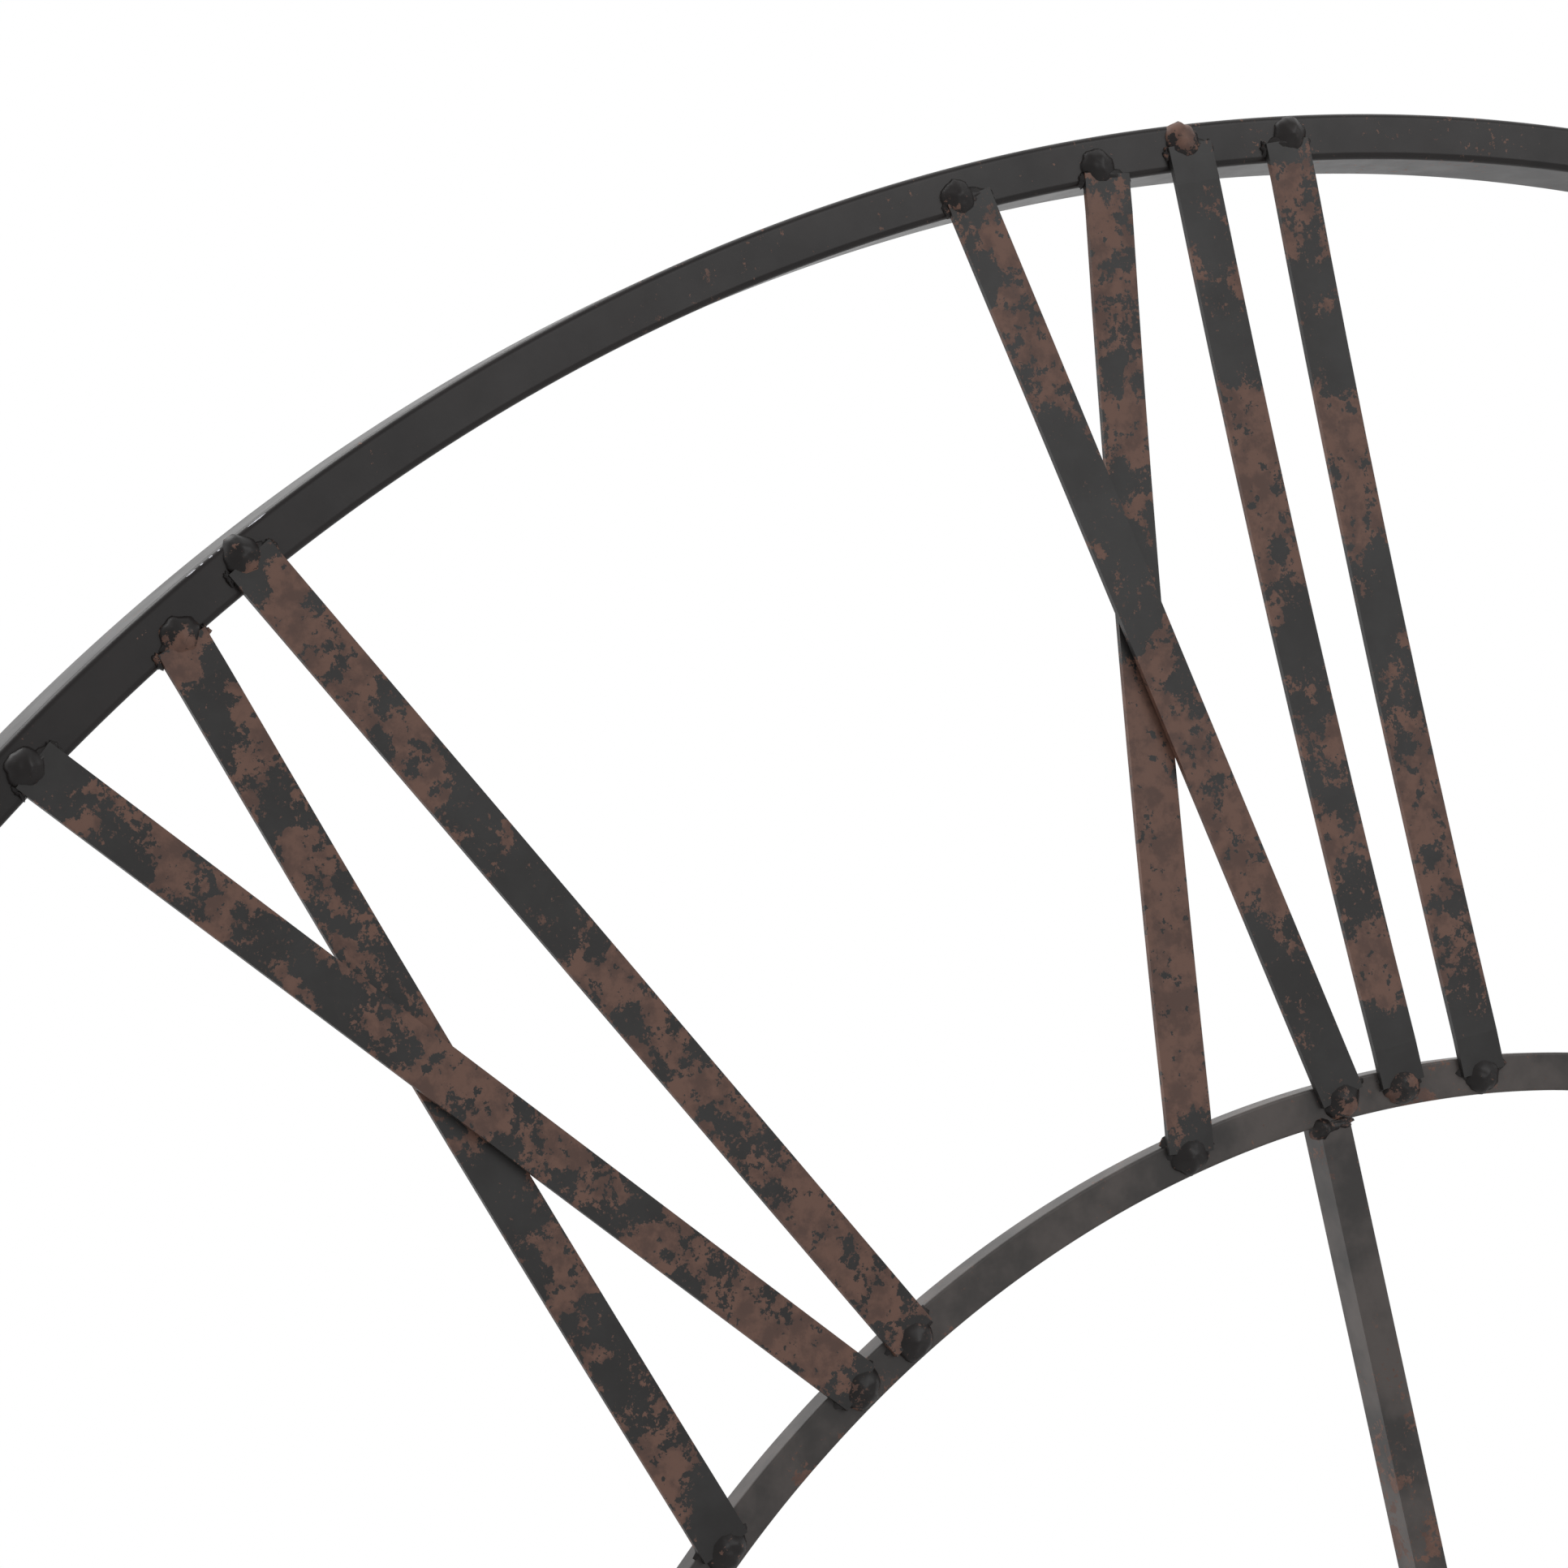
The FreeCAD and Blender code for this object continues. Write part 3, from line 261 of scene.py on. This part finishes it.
def board_resin():
    """Green solder mask with paler tracks under it."""
    g = Graph("board_mask")
    tracks = g.node("ShaderNodeTexWave", wave_type="BANDS", bands_direction="Z")
    tracks.inputs["Scale"].default_value = 190
    tracks.inputs["Distortion"].default_value = 1.5
    g.link(g.moved(), tracks.inputs["Vector"])
    track = g.ramp(tracks.outputs["Fac"], 0.55, 0.70)
    tone = g.mix(track, (0.020, 0.110, 0.050), (0.035, 0.190, 0.085))
    cloud = g.noise(250, 4.0, 0.6, 5)
    g.link(g.mix(g.math("MULTIPLY", cloud, 0.25), tone, (0.01, 0.06, 0.03)), g.shader.inputs["Base Color"])
    g.link(g.spread(cloud, 0.22, 0.42), g.shader.inputs["Roughness"])
    g.bump(tracks.outputs["Fac"], 0.00006, 0.5)
    return g.material


def winding():
    """Fine enamelled copper wire, wound along X."""
    g = Graph("copper_winding")
    turns = g.node("ShaderNodeTexWave", wave_type="BANDS", bands_direction="X")
    turns.inputs["Scale"].default_value = 1200
    turns.inputs["Distortion"].default_value = 0.6
    g.link(g.moved(), turns.inputs["Vector"])
    cloud = g.noise(300, 4.0, 0.6, 9)
    g.link(g.mix(cloud, (0.42, 0.14, 0.05), (0.72, 0.30, 0.13)), g.shader.inputs["Base Color"])
    g.link(g.spread(cloud, 0.20, 0.38), g.shader.inputs["Roughness"])
    g.bump(turns.outputs["Fac"], 0.0001, 0.8)
    g.set(Metallic=0.85)
    return g.material


def battery_sleeve():
    """A plain foil sleeve: dark body, paler band at the positive end, steel at both ends."""
    g = Graph("battery_sleeve")
    low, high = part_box("battery_cell")
    span = high.x - low.x
    parts = g.node("ShaderNodeSeparateXYZ")
    g.link(g.place, parts.inputs["Vector"])
    along = parts.outputs["X"]
    band = g.math("GREATER_THAN", along, low.x + 0.70 * span)
    tip = g.math("GREATER_THAN", along, high.x - 0.0017)
    foot = g.math("LESS_THAN", along, low.x + 0.0006)
    ends = g.math("MAXIMUM", tip, foot)
    cloud = g.noise(160, 5.0, 0.6, 4)
    sleeve = g.mix(band, (0.045, 0.048, 0.055), (0.32, 0.20, 0.08))
    worn = g.mix(g.math("MULTIPLY", g.ramp(cloud, 0.55, 0.75), 0.35), sleeve, (0.20, 0.20, 0.21))
    g.link(g.mix(ends, worn, (0.62, 0.62, 0.63)), g.shader.inputs["Base Color"])
    g.link(g.spread(cloud, 0.22, 0.40), g.shader.inputs["Roughness"])
    g.link(g.math("MAXIMUM", ends, g.math("MULTIPLY", band, 0.7)), g.shader.inputs["Metallic"])
    g.bump(cloud, 0.00008, 0.4)
    return g.material


ring_paint = patina("ring_paint", 0.10, 0.80, 2.0, black=BROWN_BLACK, deep=BROWN_DEEP, gloss=0.37)
bar_paint = patina("bar_paint", 0.12, 0.60, 8.0, black=GREY_BLACK, deep=GREY_DEEP, gloss=0.42)
spoke_paint = patina("spoke_paint", 0.24, 0.80, 14.0, black=GREY_BLACK, deep=GREY_DEEP, gloss=0.42)
strip_paint = [
    patina(f"strip_paint_{number}", 0.53, 0.5, 20.0 + 9 * number, (0.258, 0.452), gloss=0.42)
    for number in range(4)
]
weld_paint = patina("weld_paint", 0.30, 0.7, 61.0, black=BROWN_BLACK, deep=BROWN_DEEP, gloss=0.40)
hand_paint = patina("hand_paint", 0.18, 0.6, 71.0, gloss=0.36)
case_black = plastic("case_black", (0.022, 0.022, 0.024), 0.46, 1)
knob_black = plastic("knob_black", (0.040, 0.040, 0.042), 0.40, 6)
wheel_white = plastic("wheel_white", (0.74, 0.72, 0.66), 0.38, 11, dust=(0.45, 0.43, 0.38))
gasket_rubber = plastic("gasket_rubber", (0.018, 0.018, 0.018), 0.72, 15)
steel = metal("plated_steel", (0.56, 0.56, 0.57), 0.30, 3, (0.30, 0.27, 0.24))
crystal_can = metal("crystal_can", (0.70, 0.70, 0.69), 0.20, 8, (0.48, 0.46, 0.42), (6, 1, 1))
brass = metal("worn_brass", (0.66, 0.47, 0.19), 0.28, 12, (0.30, 0.18, 0.08), (10, 1, 10))

looks = {
    "outer_ring": ring_paint,
    "inner_ring": bar_paint,
    "hub_cup": spoke_paint,
    "hour_hand": hand_paint,
    "minute_hand": hand_paint,
    "movement_case": case_black,
    "movement_cover": case_black,
    "setting_knob": knob_black,
    "gasket": gasket_rubber,
    "circuit_board": board_resin(),
    "coil": winding(),
    "battery_cell": battery_sleeve(),
    "quartz_crystal": crystal_can,
}
for name in ("spoke_12", "spoke_03", "spoke_06", "spoke_09"):
    looks[name] = spoke_paint
for name in ("motion_wheel", "third_wheel", "seconds_wheel", "intermediate_wheel", "hour_wheel"):
    looks[name] = wheel_white
for name in ("case_screws", "coil_core", "stator", "contact_positive", "contact_negative", "rotor"):
    looks[name] = steel
for name in ("centre_tube", "fixing_nut", "fixing_washer", "hour_bush", "minute_bush", "hand_nut"):
    looks[name] = brass
for name in ("centre_wheel", "bridge_plate"):
    looks[name] = brass
for hour in range(1, 13):
    looks[f"numeral_{hour:02d}"] = strip_paint[(hour * 3) % 4]


def dress(item, material):
    """Gives an object one material in all its slots."""
    if not item.data.materials:
        item.data.materials.append(material)
    for slot in item.material_slots:
        slot.link = "OBJECT"
        slot.material = material


for name, material in looks.items():
    dress(nodes[name], material)


# ---- welds: their shapes -------------------------------------------------------------------


def strip_ends(name):
    """(outer end, inner end, direction) of each strip of a numeral, clockwise across the numeral."""
    mesh = bmesh.new()
    mesh.from_mesh(nodes[name].data)
    bmesh.ops.remove_doubles(mesh, verts=mesh.verts, dist=0.000001)
    waiting = set(mesh.verts)
    found = []
    while waiting:
        island, queue = [], [waiting.pop()]
        while queue:
            vert = queue.pop()
            island.append(vert.co.copy())
            for edge in vert.link_edges:
                other = edge.other_vert(vert)
                if other in waiting:
                    waiting.remove(other)
                    queue.append(other)
        flat = [Vector((co.x - CENTRE.x, 0, co.z - CENTRE.z)) for co in island]
        far = max(flat, key=lambda co: co.length)
        near = min(flat, key=lambda co: co.length)
        way = (far - near).normalized()
        flat.sort(key=lambda co: co.dot(way))
        inner = sum(flat[:4], Vector()) / 4
        outer = sum(flat[-4:], Vector()) / 4
        found.append((outer, inner, (outer - inner).normalized()))
    mesh.free()
    hour = int(name[-2:])
    turn = math.radians(30 * hour)
    side = Vector((math.cos(turn), 0, -math.sin(turn)))
    return sorted(found, key=lambda ends: ends[0].dot(side))


def clockwise(way):
    """The direction a quarter turn clockwise from way, seen from the front."""
    return Vector((way.z, 0, -way.x))


# how steeply a mound meets the metal, and how far its rim goes under the surface
FLARE = 0.85
SINK = 0.0005


def add_mound(mesh, spot, way, size, seed, lumps):
    """A lumpy dome of weld metal on the plane of spot.y, long axes along way and across it."""
    half_across, half_along, height = size
    across = clockwise(way)
    rings, around = 9, 26
    rows = []
    for ring in range(rings + 1):
        share = ring / rings
        row = []
        for corner in range(around):
            turn = 2 * math.pi * corner / around
            edge = Vector((math.cos(turn), math.sin(turn), 0))
            wobble = 1 + lumps * noise.noise(edge * 1.6 + Vector((seed, seed * 0.37, 0.0)))
            wobble += 0.5 * lumps * noise.noise(edge * 4.1 + Vector((0.0, seed, 5.0)))
            reach = share * wobble
            rise = max(0.0, 1 - share**2.0) ** FLARE
            local = edge * reach
            rise *= 1 + lumps * noise.noise(local * 2.3 + Vector((seed * 0.21, 3.0, seed)))
            at = spot + across * (local.x * half_across) + way * (local.y * half_along)
            at.y -= rise * height - (SINK if ring == rings else 0.0)
            row.append(mesh.verts.new(at))
            if ring == 0:
                break
        rows.append(row)
    for corner in range(around):
        following = (corner + 1) % around
        mesh.faces.new((rows[0][0], rows[1][corner], rows[1][following]))
        for ring in range(1, rings):
            low, high = rows[ring], rows[ring + 1]
            mesh.faces.new((low[corner], high[corner], high[following], low[following]))


def finish_mesh(name, mesh, material, body, *replaced):
    """Turns a bmesh into a shaded piece that rides on a body and stands for CAD nodes."""
    bmesh.ops.recalc_face_normals(mesh, faces=mesh.faces)
    data = bpy.data.meshes.new(name)
    mesh.to_mesh(data)
    mesh.free()
    for face in data.polygons:
        face.use_smooth = True
    item = bpy.data.objects.new(name, data)
    bpy.context.scene.collection.objects.link(item)
    data.materials.append(material)
    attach(item, body)
    if replaced:
        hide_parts(*replaced)
    return item


def on_dial(flat, depth):
    return Vector((CENTRE.x + flat.x, depth, CENTRE.z + flat.z))


# ---- rings: the CAD's sections, turned finely enough to stay round close up -----------------


def rounded_section(half_width, half_depth, corner, steps=5):
    """The corners of a rounded rectangle, as (out, depth) pairs about its middle."""
    pairs = []
    for quarter, (across, deep) in enumerate(((1, 1), (-1, 1), (-1, -1), (1, -1))):
        for step in range(steps + 1):
            turn = math.radians(90 * quarter + 90 * step / steps)
            out = across * (half_width - corner) + corner * math.cos(turn)
            pairs.append((out, deep * (half_depth - corner) + corner * math.sin(turn)))
    return pairs


def make_ring(name, replaced, outer, width, corner, material, segments):
    """A rolled ring with rounded corners, very slightly out of round as rolling leaves it."""
    low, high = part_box(replaced)
    section = rounded_section(width / 2, (high.y - low.y) / 2, corner)
    mesh = bmesh.new()
    rows = []
    for segment in range(segments):
        turn = 2 * math.pi * segment / segments
        way = Vector((math.sin(turn), 0, math.cos(turn)))
        sway = OUT_OF_ROUND * noise.noise(way * 9)
        row = []
        for out, deep in section:
            flat = way * (outer - width / 2 + out + sway)
            row.append(mesh.verts.new(on_dial(flat, (low.y + high.y) / 2 + deep)))
        rows.append(row)
    for segment in range(segments):
        first, second = rows[segment], rows[(segment + 1) % segments]
        for corner_at in range(len(section)):
            after = (corner_at + 1) % len(section)
            mesh.faces.new((first[corner_at], first[after], second[after], second[corner_at]))
    return finish_mesh(name, mesh, material, "frame", replaced)


def flatten_shading(ring):
    """Makes the ring's flat faces shade flat, with only the rounded corners soft."""
    flat_faces = ring.modifiers.new("flat_faces", "WEIGHTED_NORMAL")
    flat_faces.keep_sharp = True


def bore_hole(ring, spot, radius, depth):
    """Bores a blind hole into the back of a ring, depth deep from the wall's plane."""
    mesh = bmesh.new()
    bmesh.ops.create_cone(
        mesh, cap_ends=True, segments=48, radius1=radius, radius2=radius, depth=2 * depth
    )
    bmesh.ops.rotate(mesh, verts=mesh.verts, matrix=Matrix.Rotation(math.pi / 2, 3, "X"))
    bmesh.ops.translate(mesh, verts=mesh.verts, vec=spot)
    data = bpy.data.meshes.new("drill")
    mesh.to_mesh(data)
    mesh.free()
    drill = bpy.data.objects.new("drill", data)
    bpy.context.scene.collection.objects.link(drill)
    cut = ring.modifiers.new("hole", "BOOLEAN")
    cut.operation, cut.solver, cut.object = "DIFFERENCE", "EXACT", drill
    bpy.context.view_layer.update()
    seen_from = bpy.context.evaluated_depsgraph_get()
    bored = bpy.data.meshes.new_from_object(ring.evaluated_get(seen_from))
    ring.modifiers.clear()
    ring.data = bored
    bpy.data.objects.remove(drill)


outer_tube = make_ring(
    "outer_ring_tube", "outer_ring", OUTER, TUBE_WIDTH, TUBE_CORNER, ring_paint, 720
)
# the hanging hole is centred on the frame's origin
bore_hole(outer_tube, Vector((0, 0, 0)), HOLE_RADIUS, HOLE_DEPTH)
inner_bar = make_ring(
    "inner_ring_bar", "inner_ring", INNER, BAR_WIDTH, BAR_CORNER, bar_paint, 540
)
flatten_shading(outer_tube)
flatten_shading(inner_bar)


# ---- welds: where each one lies ------------------------------------------------------------

# how far each bead sits beyond its strip's end and to its side, clockwise positive
BEADS = {
    "numeral_11": ((0.0018, -0.0012), (0.0022, 0.0007), (0.0022, -0.0006)),
    "numeral_12": ((0.0017, -0.0019), (0.0027, -0.0015), (0.0021, -0.0010), (0.0025, 0.0016)),
}

# each kind of mound: half across, half along, height
BEAD = (0.0041, 0.0041, 0.0025)
APRON = (0.0050, 0.0020, 0.0015)
FOOT = (0.0047, 0.0040, 0.0025)
SKIRT = (0.0062, 0.0030, 0.0009)
RUN = (0.0010, 0.0017, 0.0009)
SPOKE_LUMP = (0.0027, 0.0025, 0.0026)
SPOKE_SMEAR = (0.0042, 0.0016, 0.0012)
# how far a bead sits back over its strip, and how far aside of the strip's middle a run lies
BEAD_BACK = 0.0014
RUN_ASIDE = 0.0052

outer_welds = bmesh.new()
inner_welds = bmesh.new()
dice = random.Random(12)
for hour in range(1, 13):
    name = f"numeral_{hour:02d}"
    for number, (outer, inner, way) in enumerate(strip_ends(name)):
        seed = 10.0 * hour + 2.7 * number
        side = clockwise(way)
        beyond, aside = dice.uniform(0.0016, 0.0025), dice.uniform(-0.0018, 0.0018)
        if name in BEADS:
            beyond, aside = BEADS[name][number]
        spot = on_dial(outer + way * (beyond - BEAD_BACK) + side * aside, FACE)
        add_mound(outer_welds, spot, way, BEAD, seed, 0.16)
        # the flux that ran along the end of the strip
        apron = on_dial(outer - way * 0.0004, FACE)
        add_mound(outer_welds, apron, way, APRON, seed + 4, 0.20)
        # the melted mound over the strip's other end, down to the ring's inner edge
        foot = on_dial(inner - way * 0.0006, FACE)
        add_mound(inner_welds, foot, way, FOOT, seed + 8, 0.16)
        skirt = on_dial(inner + way * 0.0012, FACE)
        add_mound(inner_welds, skirt, way, SKIRT, seed + 12, 0.40)
        for hand in (-1, 1):
            back = dice.uniform(0.0006, 0.0016)
            run = on_dial(outer - way * back + side * (hand * RUN_ASIDE), FACE)
            add_mound(outer_welds, run, way, RUN, seed + 15 + hand, 0.5)

spoke_welds = bmesh.new()
for number, name in enumerate(("spoke_12", "spoke_03", "spoke_06", "spoke_09")):
    low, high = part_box(name)
    turn = math.radians(90 * number)
    way = Vector((math.sin(turn), 0, math.cos(turn)))
    side = clockwise(way)
    shift = side * (middle(name) - CENTRE).dot(side)
    front = low.y
    for reach in (INNER - 0.0084, 0.0530):
        left = on_dial(way * reach + shift - side * 0.0034, front + 0.0006)
        add_mound(spoke_welds, left, way, SPOKE_LUMP, 3.1 * number + reach * 90, 0.2)
        over = on_dial(way * reach + shift + side * 0.0008, front + 0.0004)
        add_mound(spoke_welds, over, way, SPOKE_SMEAR, 5.3 * number + reach * 70, 0.4)

finish_mesh("outer_welds", outer_welds, weld_paint, "frame", "outer_weld_beads")
finish_mesh("inner_welds", inner_welds, weld_paint, "frame", "inner_weld_beads")
finish_mesh("spoke_welds", spoke_welds, weld_paint, "frame", "spoke_weld_beads")

# where paint is missing, as angles from twelve in degrees, clockwise positive
CHIPS = ((-27.75, -27.45), (-27.32, -27.22), (-27.05, -26.92), (-26.78, -26.70), (-25.85, -25.28))


def make_chips():
    """Slivers of bare metal along the outer ring's front corner, beside the eleven."""
    mesh = bmesh.new()
    lift = 0.00004
    for number, (start, end) in enumerate(CHIPS):
        steps = 12
        previous = None
        for step in range(steps + 1):
            share = step / steps
            turn = math.radians(start + (end - start) * share)
            width = 0.10 * math.sin(math.pi * share) ** 0.5
            width *= 1 + 0.5 * noise.noise(Vector((share * 9, number * 3.1, 0)))
            pair = []
            for lean in (0.80 - width, 0.80 + width):
                out = OUTER - TUBE_CORNER + (TUBE_CORNER + lift) * math.cos(lean)
                depth = FACE + TUBE_CORNER - (TUBE_CORNER + lift) * math.sin(lean)
                flat = Vector((math.sin(turn) * out, 0, math.cos(turn) * out))
                pair.append(mesh.verts.new(on_dial(flat, depth)))
            if previous:
                mesh.faces.new((previous[0], pair[0], pair[1], previous[1]))
            previous = pair
    return mesh


bare = metal("bare_chip", (0.62, 0.62, 0.66), 0.42, 33, (0.30, 0.28, 0.28), (30, 30, 30))
finish_mesh("paint_chips", make_chips(), bare, "frame")

for hour in range(1, 13):
    softened = nodes[f"numeral_{hour:02d}"].modifiers.new("edge", "BEVEL")
    softened.width = 0.00018
    softened.segments = 2
    softened.limit_method = "ANGLE"
    softened.angle_limit = math.radians(40)


# ---- floor, light and camera ---------------------------------------------------------------


def make_floor():
    mesh = bmesh.new()
    bmesh.ops.create_circle(mesh, cap_ends=True, segments=96, radius=2.2)
    data = bpy.data.meshes.new("studio_floor")
    mesh.to_mesh(data)
    mesh.free()
    floor = bpy.data.objects.new("studio_floor", data)
    bpy.context.scene.collection.objects.link(floor)
    floor.location = (CENTRE.x, 0, CAD_BOX[0].z - 0.05)
    g = Graph("floor_grey")
    g.link(g.spread(g.noise(3, 2, 0.5), 0.56, 0.60), g.shader.inputs["Roughness"])
    grey = g.mix(g.noise(5, 3, 0.5, 2), (0.50, 0.50, 0.50), (0.54, 0.54, 0.54))
    g.link(grey, g.shader.inputs["Base Color"])
    data.materials.append(g.material)


def make_world():
    """A white studio behind the clock, that falls off to grey on the viewer's side."""
    world = bpy.data.worlds.new("studio")
    world.use_nodes = True
    bpy.context.scene.world = world
    tree = world.node_tree
    background = tree.nodes["Background"]
    place = tree.nodes.new("ShaderNodeTexCoord")
    parts = tree.nodes.new("ShaderNodeSeparateXYZ")
    tree.links.new(place.outputs["Generated"], parts.inputs["Vector"])
    fall = tree.nodes.new("ShaderNodeMapRange")
    fall.interpolation_type = "SMOOTHSTEP"
    fall.inputs["From Min"].default_value = -0.35
    fall.inputs["From Max"].default_value = 0.35
    fall.inputs["To Min"].default_value = 0.40
    fall.inputs["To Max"].default_value = 1.0
    tree.links.new(parts.outputs["Y"], fall.inputs["Value"])
    tree.links.new(fall.outputs["Result"], background.inputs["Strength"])
    background.inputs["Color"].default_value = (1, 1, 1, 1)


def add_softbox(name, spot, target, width, height, power):
    light = bpy.data.lights.new(name, "AREA")
    light.shape = "RECTANGLE"
    light.size, light.size_y, light.energy = width, height, power
    item = bpy.data.objects.new(name, light)
    bpy.context.scene.collection.objects.link(item)
    item.location = spot
    item.rotation_mode = "QUATERNION"
    item.rotation_quaternion = (Vector(target) - Vector(spot)).to_track_quat("-Z", "Y")


# the camera in degrees: turned about the vertical, looking down, and rolled
CAMERA_SWING, CAMERA_DIP, CAMERA_LEAN = -25.50, 1.45, -12.43
# its place from the middle of the dial's face, in outer radii
CAMERA_REACH = (-0.9663, -1.5485, 0.7934)


def make_camera():
    """To the left of the dial, near the height of its top, and leaning clockwise."""
    data = bpy.data.cameras.new("camera")
    data.lens, data.sensor_width = 92.94, 36.0
    camera = bpy.data.objects.new("camera", data)
    bpy.context.scene.collection.objects.link(camera)
    swing = Matrix.Rotation(math.radians(CAMERA_SWING), 4, "Z")
    tilt = Matrix.Rotation(math.radians(90 - CAMERA_DIP), 4, "X")
    lean = Matrix.Rotation(math.radians(CAMERA_LEAN), 4, "Z")
    spot = Vector((CENTRE.x, FACE, CENTRE.z)) + OUTER * Vector(CAMERA_REACH)
    camera.matrix_world = Matrix.Translation(spot) @ swing @ tilt @ lean
    data.clip_start, data.clip_end = 0.01, 50
    bpy.context.scene.camera = camera


make_floor()
make_world()
aim = (CENTRE.x - 0.10, 0, CENTRE.z + 0.35)
add_softbox("key_right", (1.3, -2.1, 0.75), aim, 1.8, 1.8, 13)
add_softbox("top_back", (-0.5, 0.7, 1.7), aim, 1.4, 0.9, 12)
make_camera()

view = bpy.context.scene.view_settings
view.view_transform = "Standard"
view.look = "None"
